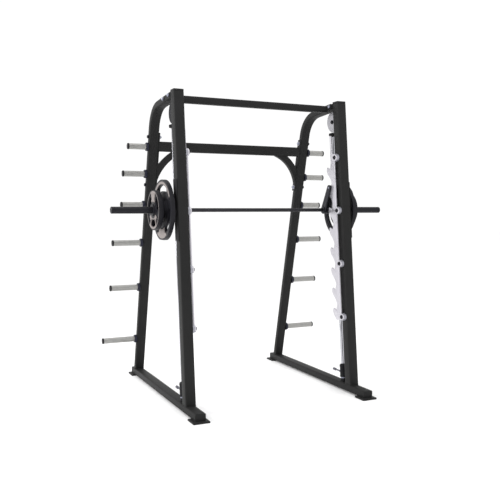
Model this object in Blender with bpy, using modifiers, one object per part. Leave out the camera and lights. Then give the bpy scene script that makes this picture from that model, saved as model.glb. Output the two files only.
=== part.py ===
"""Smith machine: two side frames joined by crossbeams, with a loaded bar that runs on two guide rods.

Metres, +Z up, +X to the machine's right side and +Y to its back. The origin is on the floor, at the
middle of the footprint. The bar is hung by its latches in the second notch from the top.
"""

import math

import bmesh
import bpy
from mathutils import Matrix, Vector

# Side frames. A depth or an offset of a leaning piece is measured level, along Y, from the front
# upright's front face at the same height.
FRAME_X = 0.648  # middle of a side frame's tubes
TUBE_W = 0.074  # their width along X
WALL = 0.003
CORNER = 0.008
LEAN = 0.0973  # how far the front upright goes back for each metre up
FRONT_FOOT_Y = -0.579  # its front face, at floor level
FRONT_DEPTH = 0.075
FRONT_TOP = 2.170
CAP_H = 0.016
REAR_LEAN = -0.2438
REAR_FOOT_Y = 0.6745  # the rear upright's middle, at floor level
REAR_DEPTH = 0.045
ARM_RISE = 0.077  # how far the top arm rises for each metre forward
BEND_R = 0.200
BEND_CORNER = Vector((0.0, 0.157, 2.1205))  # where the upright and its arm would meet unbent

# Base
RUNNER_HALF = 0.747
RUNNER_Z0 = 0.010
RUNNER_Z1 = 0.0604
FOOT_W = 0.114
FOOT_L = 0.110
FOOT_OUT = 0.025  # how far a foot plate reaches past the runner's end
DRAIN_R = 0.006

# Crossbeams
TOP_BEAM_Y = -0.210
TOP_BEAM_Z = 2.1400
TOP_BEAM_SIZE = 0.050
REAR_BEAM_Z0 = 1.809
REAR_BEAM_Z1 = 1.883
FLANGE_T = 0.008
TOP_FLANGE_L = 0.160
TOP_FLANGE_H = 0.042
REAR_FLANGE_Z0 = 1.530
REAR_FLANGE_Z1 = 1.945
REAR_FLANGE_W = 0.043
BRACE_CENTRE = (0.290, 1.500)  # X and Z of the knee brace's bend
BRACE_R0 = 0.325
BRACE_R1 = 0.373
BRACE_W = 0.038

# Guide rods and what sits on them
ROD_OFFSET = 0.149
ROD_R = 0.0125
ROD_TOP = 1.9615
FOOT_R = 0.024
FOOT_TOP = 0.092
BUMPER_R = 0.028
BUMPER_Z0 = 1.938
BUMPER_Z1 = 1.957
BRACKET_T = 0.012
BRACKET_Z0 = 1.9635
BRACKET_Z1 = 2.121
BRACKET_REACH = 0.210  # offset of its round end

# Catch plates
PLATE_X = 0.589
PLATE_T = 0.010
HOOKS = 8
HOOK_PITCH = 0.1526  # along Z
FIRST_TIP_Z = 1.6915
SEAT_OFFSET = 0.1105
SEAT_DROP = 0.0040  # from a hook's tip down to the middle of its seat
BODY_REAR = 0.092
TIP_OFFSET = 0.1405
# The back of a hook: offset, and height from its tip
HOOK_BACK = ((0.1480, -0.006), (0.1525, -0.018), (0.1505, -0.036), (0.1440, -0.051), (0.1330, -0.063),
             (0.1205, -0.074), (0.1090, -0.087), (0.0985, -0.102), (0.0935, -0.114))
NOTCH_OPEN = 0.030  # height from a hook's tip to the top of the notch over it
LOBE_OFFSET = 0.035
LOBE_R = 0.025
LOBE_SPREAD = 74  # degrees from the lobe's rearmost point to where the body's front edge meets it
LOBES = 4
LOBE_PITCH = 0.398
FIRST_LOBE_Z = 1.761
FINGER_FRONT = 0.0735
FINGER_REAR = 0.094
FINGER_TOP = 1.930
FINGER_ROOT = 0.032  # height of the finger's root over the top lobe's middle
FINGER_CHAMFER = 0.008
STANDOFF_R = 0.028

# Storage horns: height and length beyond the upright's outer face
HORN_Z = (1.841, 1.640, 1.406, 1.112, 0.754, 0.322)
HORN_L = (0.160, 0.188, 0.188, 0.240, 0.240, 0.280)
HORN_R = 0.022
HORN_WALL = 0.003
HORN_FLOOR = 0.012  # thickness of the closed end
COLLAR_R = 0.031
COLLAR_L = 0.018

# Bar, hung in notch 2
BAR_Z = 1.3670
BAR_OFFSET = 0.208
BAR_R = 0.0138
BAR_HALF = 1.090
SHAFT_HALF = 0.682
SLEEVE_R = 0.024
SHOULDER_R = 0.036
SHOULDER_L = 0.010
LATCH_END_OFFSET = 0.1135
LATCH_END_Z = 1.5365
PIN_Z = 1.5351
PIN_R = 0.0065
SEAT_R = 0.0080
LATCH_END_R = 0.020
LATCH_HUB_R = 0.030
LATCH_CORE_R = 0.0262  # the hub between the cheeks
CHEEK_T = 0.014
CHEEK_SPREAD = 0.014  # from the catch plate's middle to a cheek's middle
CARRIAGE_X0 = 0.620
CARRIAGE_X1 = 0.676
HOUSING_R = 0.027
HOUSING_HALF = 0.070
BOSS_R = 0.029
NECK_HALF = 0.026
NECK_INSET = 0.004

# Weight plates: outer radius, faces, how far the hub stands beyond them, the angles of the first
# grip slot and of half a slot, and the slot's inner radius as a share of the plate's
PLATE_BORE = 0.0246
PLATES = {
    "large": (0.211, 0.7065, 0.7335, 0.010, math.radians(90), math.radians(36), 0.62),
    "small": (0.1385, 0.7620, 0.7950, 0.009, math.radians(-90), math.radians(28), 0.49),
}
FLAT_AT = 0.980  # the flats' distance from the middle, as a share of the radius
HUB_R = 0.30
SLOT_OUT = 0.82
RIM_STEPS = 14
SLOT_STEPS = 6

# Safety stops
STOP_R = 0.025
STOP_Z0 = 0.0950
STOP_Z1 = 0.1900
STOP_PIN_Z = 0.128
STOP_PIN_R = 0.006
STOP_PIN_L = 0.110
STOP_KNOB_R = 0.0102
STOP_KNOB_L = 0.030

GUARD_T = 0.003
GUARD_Z0 = 1.159
GUARD_Z1 = 1.577

GAP = 0.0003
OVERCUT = 0.020  # how far a cutter runs past what it cuts
WELD_GAP = 0.001
OUTER_X = FRAME_X + TUBE_W / 2
INNER_X = FRAME_X - TUBE_W / 2

# Local X, Y and Z of a flat outline stand along world Y, Z and X, or world X, Z and -Y
SIDE_VIEW = Matrix(((0, 0, 1, 0), (1, 0, 0, 0), (0, 1, 0, 0), (0, 0, 0, 1)))
FRONT_VIEW = Matrix(((1, 0, 0, 0), (0, 0, -1, 0), (0, 1, 0, 0), (0, 0, 0, 1)))
ALONG_X = Matrix.Rotation(math.pi / 2, 4, "Y")
LEAN_SHEAR = Matrix(((1, 0, 0, 0), (0, 1, LEAN, 0), (0, 0, 1, 0), (0, 0, 0, 1)))


def level_y(offset, z):
    """Y of a point at this offset behind the front upright's front face, at height z."""
    return FRONT_FOOT_Y + LEAN * z + offset


def clear_scene():
    for obj in list(bpy.data.objects):
        bpy.data.objects.remove(obj, do_unlink=True)


def new_collection(name, hidden):
    found = bpy.data.collections.new(name)
    found.hide_render = hidden
    bpy.context.scene.collection.children.link(found)
    return found


def new_material(name, colour, roughness, metallic):
    material = bpy.data.materials.new(name)
    material.use_nodes = True
    shader = material.node_tree.nodes["Principled BSDF"]
    shader.inputs["Base Color"].default_value = (*colour, 1)
    shader.inputs["Roughness"].default_value = roughness
    shader.inputs["Metallic"].default_value = metallic
    return material


def solid(name, mesh, material=None):
    """An object for the mesh, in the part's collection, or among the cutters if it has no material."""
    mesh.name = name
    obj = bpy.data.objects.new(name, mesh)
    if material is None:
        CUTTERS.objects.link(obj)
        obj.hide_render = True
        obj.display_type = "WIRE"
        return obj
    mesh.materials.clear()
    mesh.materials.append(material)
    PART.objects.link(obj)
    mesh.shade_smooth()
    mesh.set_sharp_from_angle(angle=math.radians(35))
    return obj


def mesh_of(build):
    """The mesh that build(bm) makes."""
    bm = bmesh.new()
    build(bm)
    mesh = bpy.data.meshes.new("shape")
    bm.to_mesh(mesh)
    bm.free()
    return mesh


def cylinder_mesh(start, end, radius, sides=24, end_radius=None):
    start, end = Vector(start), Vector(end)
    turn = (end - start).to_track_quat("Z", "Y").to_matrix().to_4x4()
    place = Matrix.Translation((start + end) / 2) @ turn
    last = radius if end_radius is None else end_radius
    return mesh_of(
        lambda bm: bmesh.ops.create_cone(
            bm, cap_ends=True, segments=sides, radius1=radius, radius2=last,
            depth=(end - start).length, matrix=place)
    )


def box_mesh(low, high):
    low, high = Vector(low), Vector(high)
    place = Matrix.Translation((low + high) / 2) @ Matrix.Diagonal((*(high - low), 1))
    return mesh_of(lambda bm: bmesh.ops.create_cube(bm, size=1, matrix=place))


def curve_mesh(curve):
    """The mesh of a curve, with its caps welded on."""
    obj = bpy.data.objects.new("outline", curve)
    CUTTERS.objects.link(obj)
    bpy.context.view_layer.update()
    graph = bpy.context.evaluated_depsgraph_get()
    mesh = bpy.data.meshes.new_from_object(obj.evaluated_get(graph))
    bpy.data.objects.remove(obj)
    bm = bmesh.new()
    bm.from_mesh(mesh)
    bmesh.ops.remove_doubles(bm, verts=bm.verts, dist=1e-6)
    bmesh.ops.recalc_face_normals(bm, faces=bm.faces)
    bm.to_mesh(mesh)
    bm.free()
    return mesh


def add_spline(curve, points, cyclic=True):
    spline = curve.splines.new("POLY")
    spline.points.add(len(points) - 1)
    for spot, point in zip(spline.points, points):
        spot.co = (*point, *(0,) * (3 - len(point)), 1)
    spline.use_cyclic_u = cyclic
    return spline


def flat_mesh(outline, thickness, view, middle):
    """A plate with a flat outline, half its thickness on each side of the middle."""
    curve = bpy.data.curves.new("outline", "CURVE")
    curve.dimensions = "2D"
    curve.fill_mode = "BOTH"
    curve.extrude = thickness / 2
    add_spline(curve, outline)
    mesh = curve_mesh(curve)
    mesh.transform(view @ Matrix.Translation((0, 0, middle)))
    return mesh


def arc(centre, radius, start, end, steps):
    """Points along an arc, angles in radians."""
    turns = [start + (end - start) * i / steps for i in range(steps + 1)]
    return [(centre[0] + radius * math.cos(t), centre[1] + radius * math.sin(t)) for t in turns]


def ring(centre, radius, sides):
    return arc(centre, radius, 0, 2 * math.pi * (1 - 1 / sides), sides - 1)


def rounded_rectangle(width, height, radius, steps=3):
    points = []
    for i, (sx, sy) in enumerate(((1, 1), (-1, 1), (-1, -1), (1, -1))):
        centre = (sx * (width / 2 - radius), sy * (height / 2 - radius))
        points += arc(centre, radius, i * math.pi / 2, (i + 1) * math.pi / 2, steps)
    return points


def tube_mesh(path, width, depth):
    """The skin of a tube with rounded corners along a path, open at both ends."""
    profile = bpy.data.curves.new("profile", "CURVE")
    add_spline(profile, rounded_rectangle(width, depth, CORNER))
    holder = bpy.data.objects.new("profile", profile)
    CUTTERS.objects.link(holder)
    curve = bpy.data.curves.new("path", "CURVE")
    curve.dimensions = "3D"
    curve.bevel_mode = "OBJECT"
    curve.bevel_object = holder
    add_spline(curve, path, cyclic=False)
    mesh = curve_mesh(curve)
    bpy.data.objects.remove(holder)
    return mesh


def give_wall(obj):
    wall = obj.modifiers.new("wall", "SOLIDIFY")
    wall.thickness = WALL
    wall.offset = -1
    return obj


def boolean(obj, operation, *others):
    """Joins or cuts the object with meshes, each used once."""
    for i, mesh in enumerate(others):
        other = solid(f"{obj.name}_{operation.lower()}_{len(obj.modifiers)}_{i}", mesh)
        step = obj.modifiers.new(operation.lower(), "BOOLEAN")
        step.operation = operation
        step.solver = "EXACT"
        step.object = other
    return obj


def trim_end(mesh, near, direction, point, normal):
    """Slides the end ring that lies near a point along the tube, onto a plane."""
    for v in mesh.vertices:
        if (v.co - near).length < max(TUBE_W, FRONT_DEPTH):
            v.co += direction * ((point - v.co).dot(normal) / direction.dot(normal))


def front_upright(name, x):
    mesh = tube_mesh([(0, 0, RUNNER_Z1 + GAP), (0, 0, FRONT_TOP)], TUBE_W, FRONT_DEPTH)
    mesh.transform(LEAN_SHEAR)
    mesh.transform(Matrix.Translation((x, FRONT_FOOT_Y + FRONT_DEPTH / 2, 0)))
    give_wall(solid(name, mesh, STEEL))


def upright_cap(name, x):
    section = rounded_rectangle(TUBE_W, FRONT_DEPTH, CORNER)
    middle = Matrix.Translation((0, 0, FRONT_TOP + GAP + CAP_H / 2))
    mesh = flat_mesh(section, CAP_H, middle, 0)
    mesh.transform(LEAN_SHEAR)
    mesh.transform(Matrix.Translation((x, FRONT_FOOT_Y + FRONT_DEPTH / 2, 0)))
    solid(name, mesh, CAP_PLASTIC)


def rear_path(x):
    """The middle line of the rear upright, its bend and its arm to the front upright."""
    up = Vector((0, REAR_LEAN, 1)).normalized()
    ahead = Vector((0, -1, ARM_RISE)).normalized()
    turn = up.angle(ahead)
    leg = BEND_R * math.tan(turn / 2)
    start = BEND_CORNER - up * leg
    centre = start + up.cross(ahead).normalized().cross(up) * BEND_R
    bend = []
    steps = 8
    for i in range(steps + 1):
        spin = Matrix.Rotation(turn * i / steps, 3, up.cross(ahead).normalized())
        bend.append(centre + spin @ (start - centre))
    foot = BEND_CORNER - up * ((BEND_CORNER.z - RUNNER_Z1) / up.z)
    end = BEND_CORNER + ahead * 0.46
    return [Vector((x, p.y, p.z)) for p in [foot, *bend, end]], up, ahead


def rear_upright(name, x):
    path, up, ahead = rear_path(x)
    mesh = tube_mesh(path, TUBE_W, REAR_DEPTH * math.cos(math.atan(REAR_LEAN)))
    trim_end(mesh, path[0], up, Vector((x, 0, RUNNER_Z1 + WELD_GAP)), Vector((0, 0, 1)))
    face_y = FRONT_FOOT_Y + FRONT_DEPTH + WELD_GAP
    back = Vector((0, 1, -LEAN)).normalized()
    trim_end(mesh, path[-1], ahead, Vector((x, face_y, 0)), back)
    give_wall(solid(name, mesh, STEEL))


def drain_hole(x, y, z):
    return cylinder_mesh((x, y, z - 2 * WALL), (x, y, z + 2 * WALL), DRAIN_R, 12)


def base_runner(name, x):
    """A tube with a plate welded into each end, a drain hole, and a foot plate under each end."""
    height = RUNNER_Z1 - RUNNER_Z0
    middle = (RUNNER_Z0 + RUNNER_Z1) / 2
    half = RUNNER_HALF - WELD_GAP
    tube = tube_mesh([(x, -half, middle), (x, half, middle)], TUBE_W, height)
    runner = give_wall(solid(name, tube, STEEL))
    inset = 2 * WELD_GAP
    for end in (-1, 1):
        section = rounded_rectangle(TUBE_W - inset, height - inset, CORNER - WELD_GAP)
        place = Matrix.Translation((x, 0, middle)) @ FRONT_VIEW
        plug = flat_mesh(section, 2 * WALL, place, -end * (RUNNER_HALF - WALL))
        outer_y = end * (RUNNER_HALF + FOOT_OUT)
        low_y, high_y = sorted((outer_y, outer_y - end * FOOT_L))
        foot = box_mesh((x - FOOT_W / 2, low_y, 0), (x + FOOT_W / 2, high_y, RUNNER_Z0 + WALL / 2))
        boolean(runner, "UNION", plug, foot)
    boolean(runner, "DIFFERENCE", drain_hole(x, 0, RUNNER_Z0))


def top_crossbeam(name):
    """A tube with a flange at each end, through-bolted to the two arms."""
    reach = INNER_X - GAP
    path = [(-reach + FLANGE_T / 2, TOP_BEAM_Y, TOP_BEAM_Z), (reach - FLANGE_T / 2, TOP_BEAM_Y, TOP_BEAM_Z)]
    beam = give_wall(solid(name, tube_mesh(path, TOP_BEAM_SIZE, TOP_BEAM_SIZE), STEEL))
    slope = math.atan(-ARM_RISE)
    for side in (-1, 1):
        middle = side * (reach - FLANGE_T / 2)
        outline = rounded_rectangle(TOP_FLANGE_L, TOP_FLANGE_H, CORNER)
        place = Matrix.Translation((0, TOP_BEAM_Y, BEND_CORNER.z + ARM_RISE * (BEND_CORNER.y - TOP_BEAM_Y)))
        place = place @ Matrix.Rotation(slope, 4, "X") @ SIDE_VIEW
        boolean(beam, "UNION", flat_mesh(outline, FLANGE_T, place, middle))
    boolean(beam, "DIFFERENCE", drain_hole(0, TOP_BEAM_Y, TOP_BEAM_Z - TOP_BEAM_SIZE / 2))


def rear_y(z):
    """Y of the rear upright's middle at height z, below its bend."""
    return REAR_FOOT_Y + REAR_LEAN * z


def rear_crossbeam(name):
    """A tube with a long flange at each end, through-bolted to the rear uprights."""
    reach = INNER_X - GAP
    middle_z = (REAR_BEAM_Z0 + REAR_BEAM_Z1) / 2
    y = rear_y(middle_z)
    ends = [(side * (reach - FLANGE_T / 2), y, middle_z) for side in (-1, 1)]
    beam = give_wall(solid(name, tube_mesh(ends, REAR_DEPTH - WALL, REAR_BEAM_Z1 - REAR_BEAM_Z0), STEEL))
    for side in (-1, 1):
        low = (rear_y(REAR_FLANGE_Z0), REAR_FLANGE_Z0)
        high = (rear_y(REAR_FLANGE_Z1), REAR_FLANGE_Z1)
        half = REAR_FLANGE_W / 2
        outline = [(low[0] - half, low[1]), (low[0] + half, low[1]),
                   (high[0] + half, high[1]), (high[0] - half, high[1])]
        boolean(beam, "UNION", flat_mesh(outline, FLANGE_T, SIDE_VIEW, side * (reach - FLANGE_T / 2)))
    boolean(beam, "DIFFERENCE", drain_hole(0, y, REAR_BEAM_Z0))


def knee_brace(name, side):
    """A bent brace between the rear crossbeam's underside and its flange."""
    foot_x = INNER_X - GAP - FLANGE_T - GAP
    top_z = REAR_BEAM_Z0 - GAP
    cx, cz = BRACE_CENTRE
    inner_start = math.acos((foot_x - cx) / BRACE_R0)
    inner_end = math.asin((top_z - cz) / BRACE_R0)
    outer_start = math.acos((foot_x - cx) / BRACE_R1)
    outer_end = math.asin((top_z - cz) / BRACE_R1)
    outline = arc(BRACE_CENTRE, BRACE_R0, inner_start, inner_end, 8)
    outline += arc(BRACE_CENTRE, BRACE_R1, outer_end, outer_start, 8)
    mesh = flat_mesh([(side * px, pz) for px, pz in outline], BRACE_W, FRONT_VIEW, 0)
    slope = Matrix(((1, 0, 0, 0), (0, 1, REAR_LEAN, REAR_FOOT_Y), (0, 0, 1, 0), (0, 0, 0, 1)))
    mesh.transform(slope)
    solid(name, mesh, STEEL)


def rod_point(x, z, offset=ROD_OFFSET):
    return Vector((x, level_y(offset, z), z))


def guide_rod(name, x):
    solid(name, cylinder_mesh(rod_point(x, FOOT_TOP + GAP), rod_point(x, ROD_TOP), ROD_R), CHROME)


def rod_foot(name, x):
    y = level_y(ROD_OFFSET, FOOT_TOP)
    top = FOOT_TOP - 10 * GAP
    solid(name, cylinder_mesh((x, y, RUNNER_Z1 + GAP), (x, y, top), FOOT_R), BLACK_PLASTIC)


def rod_collar(name, x, z0, z1, radius, material):
    """A sleeve round the guide rod, with a running gap."""
    piece = solid(name, cylinder_mesh(rod_point(x, z0), rod_point(x, z1), radius), material)
    bore = cylinder_mesh(rod_point(x, z0 - OVERCUT), rod_point(x, z1 + OVERCUT), ROD_R + GAP)
    return boolean(piece, "DIFFERENCE", bore)


def rod_bracket(name, x):
    """A plate with a round end behind the front upright's top, which holds the guide rod's top end."""
    front = FRONT_DEPTH + GAP
    radius = (BRACKET_Z1 - BRACKET_Z0) / 2
    middle_z = (BRACKET_Z0 + BRACKET_Z1) / 2
    round_end = arc((BRACKET_REACH - radius, middle_z), radius, -math.pi / 2, math.pi / 2, 12)
    outline = [(front, BRACKET_Z0), *round_end, (front, BRACKET_Z1)]
    sheared = [(level_y(offset, z), z) for offset, z in outline]
    solid(name, flat_mesh(sheared, BRACKET_T, SIDE_VIEW, x), BRIGHT)


def hook_profile(tip_z):
    """Offset and height down the rear edge of a catch plate, from a notch over its hook to the body."""
    seat = (SEAT_OFFSET, tip_z - SEAT_DROP)
    notch = arc(seat, SEAT_R, math.radians(180), math.radians(300), 6)
    back = [(offset, tip_z + rise) for offset, rise in HOOK_BACK]
    return [(BODY_REAR, tip_z + NOTCH_OPEN), *notch, (TIP_OFFSET, tip_z), *back]


def lobe(index, start, end, steps):
    """Part of the round edge of one bolt lobe, angles in degrees."""
    centre = (LOBE_OFFSET, FIRST_LOBE_Z - index * LOBE_PITCH)
    return arc(centre, LOBE_R, math.radians(start), math.radians(end), steps)


def catch_outline():
    """Down the rear edge over the hooks, round the bottom lobe, and up the front edge to the finger."""
    shoulder = FINGER_TOP - FINGER_CHAMFER
    outline = [(FINGER_REAR, shoulder)]
    for i in range(HOOKS):
        outline += hook_profile(FIRST_TIP_Z - i * HOOK_PITCH)
    outline = outline[:-2]
    outline += lobe(LOBES - 1, -60, LOBE_SPREAD - 360, 10)
    for i in reversed(range(LOBES - 1)):
        outline += lobe(i, -LOBE_SPREAD, LOBE_SPREAD - 360, 9)
    return outline + [(FINGER_FRONT, FIRST_LOBE_Z + FINGER_ROOT), (FINGER_FRONT, shoulder),
                      (FINGER_FRONT + FINGER_CHAMFER, FINGER_TOP), (FINGER_REAR - FINGER_CHAMFER, FINGER_TOP)]


def lean_outline(outline):
    """Turns offsets and heights into Y and Z."""
    return [(level_y(offset, z), z) for offset, z in outline]


def catch_plate(name, x):
    solid(name, flat_mesh(lean_outline(catch_outline()), PLATE_T, SIDE_VIEW, x), POLISHED)


def catch_standoff(name, side, index):
    z = FIRST_LOBE_Z - index * LOBE_PITCH
    y = level_y(LOBE_OFFSET, z)
    ends = sorted((side * (PLATE_X + PLATE_T / 2 + GAP), side * (INNER_X - GAP)))
    solid(name, cylinder_mesh((ends[0], y, z), (ends[1], y, z), STANDOFF_R), BRIGHT)


def storage_horn(name, side, z, length):
    """A pipe open at its end, on a round collar."""
    y = rear_y(z)
    root, tip = side * (OUTER_X + GAP), side * (OUTER_X + length)
    horn = solid(name, cylinder_mesh((root, y, z), (tip, y, z), HORN_R), GALVANISED)
    inside = cylinder_mesh((root + side * HORN_FLOOR, y, z), (tip + side * OVERCUT, y, z), HORN_R - HORN_WALL)
    collar = cylinder_mesh((root, y, z), (root + side * COLLAR_L, y, z), COLLAR_R)
    boolean(horn, "UNION", collar)
    boolean(horn, "DIFFERENCE", inside)


def link_mesh(first, first_r, second, second_r, thickness, middle):
    """A link with round ends: the hull of two discs, given as Y and Z."""
    def build(bm):
        for centre, radius in ((first, first_r), (second, second_r)):
            for along in (-thickness / 2, thickness / 2):
                for y, z in ring(centre, radius, 24):
                    bm.verts.new((middle + along, y, z))
        hull = bmesh.ops.convex_hull(bm, input=bm.verts)
        spare = [v for v in hull["geom_interior"] if isinstance(v, bmesh.types.BMVert)]
        bmesh.ops.delete(bm, geom=spare, context="VERTS")
        bmesh.ops.recalc_face_normals(bm, faces=bm.faces)
    return mesh_of(build)


def latch(name, side):
    """Two cheeks that straddle the catch plate, joined by a hub on the bar and a pin in a notch."""
    bar = (level_y(BAR_OFFSET, BAR_Z), BAR_Z)
    end = (level_y(LATCH_END_OFFSET, LATCH_END_Z), LATCH_END_Z)
    pin = (level_y(SEAT_OFFSET, PIN_Z), PIN_Z)
    cheeks = [link_mesh(bar, LATCH_HUB_R, end, LATCH_END_R, CHEEK_T, side * PLATE_X + spread)
              for spread in (-CHEEK_SPREAD, CHEEK_SPREAD)]
    reach = CHEEK_SPREAD
    x0, x1 = side * PLATE_X - reach, side * PLATE_X + reach
    hub = cylinder_mesh((x0, *bar), (x1, *bar), LATCH_CORE_R)
    tooth = cylinder_mesh((x0, *pin), (x1, *pin), PIN_R, 20)
    bore = cylinder_mesh((x0 - OVERCUT, *bar), (x1 + OVERCUT, *bar), BAR_R + GAP)
    piece = solid(name, cheeks[0], LATCH_METAL)
    boolean(piece, "UNION", hub, cheeks[1], tooth)
    boolean(piece, "DIFFERENCE", bore)


def bar_line(x0, x1):
    y = level_y(BAR_OFFSET, BAR_Z)
    return (x0, y, BAR_Z), (x1, y, BAR_Z)


def carriage(name, side):
    """A bush housing on the guide rod, with a boss behind it that carries the bar."""
    x = side * FRAME_X
    half = HOUSING_HALF
    housing = cylinder_mesh(rod_point(x, BAR_Z - half), rod_point(x, BAR_Z + half), HOUSING_R)
    x0, x1 = sorted((side * CARRIAGE_X0, side * CARRIAGE_X1))
    boss = cylinder_mesh(*bar_line(x0, x1), BOSS_R)
    y0, y1 = level_y(ROD_OFFSET, BAR_Z), level_y(BAR_OFFSET, BAR_Z)
    neck = box_mesh((x0 + NECK_INSET, y0, BAR_Z - NECK_HALF), (x1 - NECK_INSET, y1, BAR_Z + NECK_HALF))
    piece = solid(name, housing, BLACK_METAL)
    boolean(piece, "UNION", boss, neck)
    low, high = BAR_Z - half - OVERCUT, BAR_Z + half + OVERCUT
    rod_bore = cylinder_mesh(rod_point(x, low), rod_point(x, high), ROD_R + GAP)
    bar_bore = cylinder_mesh(*bar_line(x0 - OVERCUT, x1 + OVERCUT), BAR_R + GAP)
    boolean(piece, "DIFFERENCE", rod_bore, bar_bore)


def bar_shaft(name):
    solid(name, cylinder_mesh(*bar_line(-SHAFT_HALF, SHAFT_HALF), BAR_R), GUNMETAL)


def bar_sleeve(name, side):
    x0 = side * (SHAFT_HALF + GAP)
    piece = solid(name, cylinder_mesh(*bar_line(x0, side * BAR_HALF), SLEEVE_R), SLEEVE_METAL)
    shoulder = cylinder_mesh(*bar_line(x0, x0 + side * SHOULDER_L), SHOULDER_R)
    boolean(piece, "UNION", shoulder)


def plate_rim(radius, first_grip):
    """Rim of a weight plate: a circle with three flats between the grips."""
    half = math.acos(FLAT_AT)
    rim = []
    for i in range(3):
        flat = first_grip + math.pi / 3 + i * 2 * math.pi / 3
        rim += arc((0, 0), radius, flat + half, flat + 2 * math.pi / 3 - half, RIM_STEPS)
    return rim


def grip_slot(radius, middle, half_angle, slot_in):
    """Outline of one grip slot: two arcs, with rounded ends."""
    low, high = radius * slot_in, radius * SLOT_OUT
    mid, half = (low + high) / 2, (high - low) / 2
    end = half_angle - half / mid
    outline = arc((0, 0), high, middle - end, middle + end, SLOT_STEPS)
    tip = (mid * math.cos(middle + end), mid * math.sin(middle + end))
    outline += arc(tip, half, middle + end, middle + end + math.pi, 4)[1:-1]
    outline += arc((0, 0), low, middle + end, middle - end, SLOT_STEPS)
    tip = (mid * math.cos(middle - end), mid * math.sin(middle - end))
    return outline + arc(tip, half, middle - end + math.pi, middle - end + 2 * math.pi, 4)[1:-1]


def weight_plate(name, side, kind):
    radius, x0, x1, hub_out, first_grip, half_angle, slot_in = PLATES[kind]
    place = Matrix.Translation((0, level_y(BAR_OFFSET, BAR_Z), BAR_Z)) @ SIDE_VIEW
    middle = side * (x0 + x1) / 2
    piece = solid(name, flat_mesh(plate_rim(radius, first_grip), x1 - x0, place, middle), PLATE_IRON)
    low, high = side * (x0 - hub_out), side * (x1 + hub_out)
    boolean(piece, "UNION", cylinder_mesh(*bar_line(low, high), radius * HUB_R))
    for i in range(3):
        slot = grip_slot(radius, first_grip + i * 2 * math.pi / 3, half_angle, slot_in)
        boolean(piece, "DIFFERENCE", flat_mesh(slot, 2 * (x1 - x0), place, middle))
    bore = bar_line(low - side * OVERCUT, high + side * OVERCUT)
    boolean(piece, "DIFFERENCE", cylinder_mesh(*bore, PLATE_BORE))


def safety_stop(name, x):
    piece = rod_collar(name, x, STOP_Z0, STOP_Z1, STOP_R, BLACK_METAL)
    centre = rod_point(x, STOP_PIN_Z)
    start, end = centre + Vector((0, ROD_R, 0)), centre + Vector((0, STOP_R * 2, 0))
    hole = cylinder_mesh(start, end, STOP_PIN_R + GAP)
    boolean(piece, "DIFFERENCE", hole)


def stop_pin(name, x):
    """The pull pin of a safety stop: a round pin with a knob on its end."""
    centre = rod_point(x, STOP_PIN_Z)
    start = centre + Vector((0, ROD_R + 3 * GAP, 0))
    end = centre + Vector((0, STOP_R + STOP_PIN_L, 0))
    piece = solid(name, cylinder_mesh(start, end, STOP_PIN_R), CHROME)
    boolean(piece, "UNION", cylinder_mesh(end - Vector((0, STOP_KNOB_L, 0)), end, STOP_KNOB_R))


def wear_guard(name, side):
    """A thin pad on the upright's outer face, where the weight plates pass."""
    x = side * (OUTER_X + GAP + GUARD_T / 2)
    inset = 0.001
    outline = [(inset, GUARD_Z0), (FRONT_DEPTH - inset, GUARD_Z0),
               (FRONT_DEPTH - inset, GUARD_Z1), (inset, GUARD_Z1)]
    solid(name, flat_mesh(lean_outline(outline), GUARD_T, SIDE_VIEW, x), GUARD_PAD)


def side_pieces(label, side):
    """Every piece that the left and the right side each have."""
    x = side * FRAME_X
    front_upright(f"front_upright_{label}", x)
    upright_cap(f"upright_cap_{label}", x)
    rear_upright(f"rear_upright_{label}", x)
    base_runner(f"base_runner_{label}", x)
    knee_brace(f"knee_brace_{label}", side)
    guide_rod(f"guide_rod_{label}", x)
    rod_foot(f"rod_foot_{label}", x)
    rod_bracket(f"rod_bracket_{label}", x)
    rod_collar(f"top_bumper_{label}", x, BUMPER_Z0, BUMPER_Z1, BUMPER_R, RUBBER)
    catch_plate(f"catch_plate_{label}", side * PLATE_X)
    for i in range(LOBES):
        catch_standoff(f"catch_standoff_{label}_{i + 1}", side, i)
    for i, (z, length) in enumerate(zip(HORN_Z, HORN_L)):
        storage_horn(f"storage_horn_{label}_{i + 1}", side, z, length)
    wear_guard(f"wear_guard_{label}", side)
    carriage(f"carriage_{label}", side)
    latch(f"latch_{label}", side)
    bar_sleeve(f"bar_sleeve_{label}", side)
    for kind in PLATES:
        weight_plate(f"{kind}_plate_{label}", side, kind)
    safety_stop(f"safety_stop_{label}", x)
    stop_pin(f"stop_pin_{label}", x)


def joint_empty(name, location, pieces):
    """An empty on a joint's axis that carries the pieces which move with it."""
    empty = bpy.data.objects.new(name, None)
    empty.location = location
    PART.objects.link(empty)
    for piece in pieces:
        obj = bpy.data.objects[piece]
        obj.parent = empty
        obj.matrix_parent_inverse = Matrix.Translation(location).inverted()


def joint_empties():
    bar = Vector((0, level_y(BAR_OFFSET, BAR_Z), BAR_Z))
    joint_empty("carriage_pivot", rod_point(0, BAR_Z), ["carriage_left", "carriage_right"])
    bar_pieces = ["bar_shaft", "bar_sleeve_left", "bar_sleeve_right", "latch_left", "latch_right"]
    joint_empty("bar_pivot", bar, bar_pieces)
    for label, side in (("left", -1), ("right", 1)):
        for kind in PLATES:
            joint_empty(f"{kind}_plate_pivot_{label}", bar, [f"{kind}_plate_{label}"])
        stop = rod_point(side * FRAME_X, STOP_PIN_Z)
        joint_empty(f"stop_pivot_{label}", stop, [f"safety_stop_{label}", f"stop_pin_{label}"])


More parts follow.
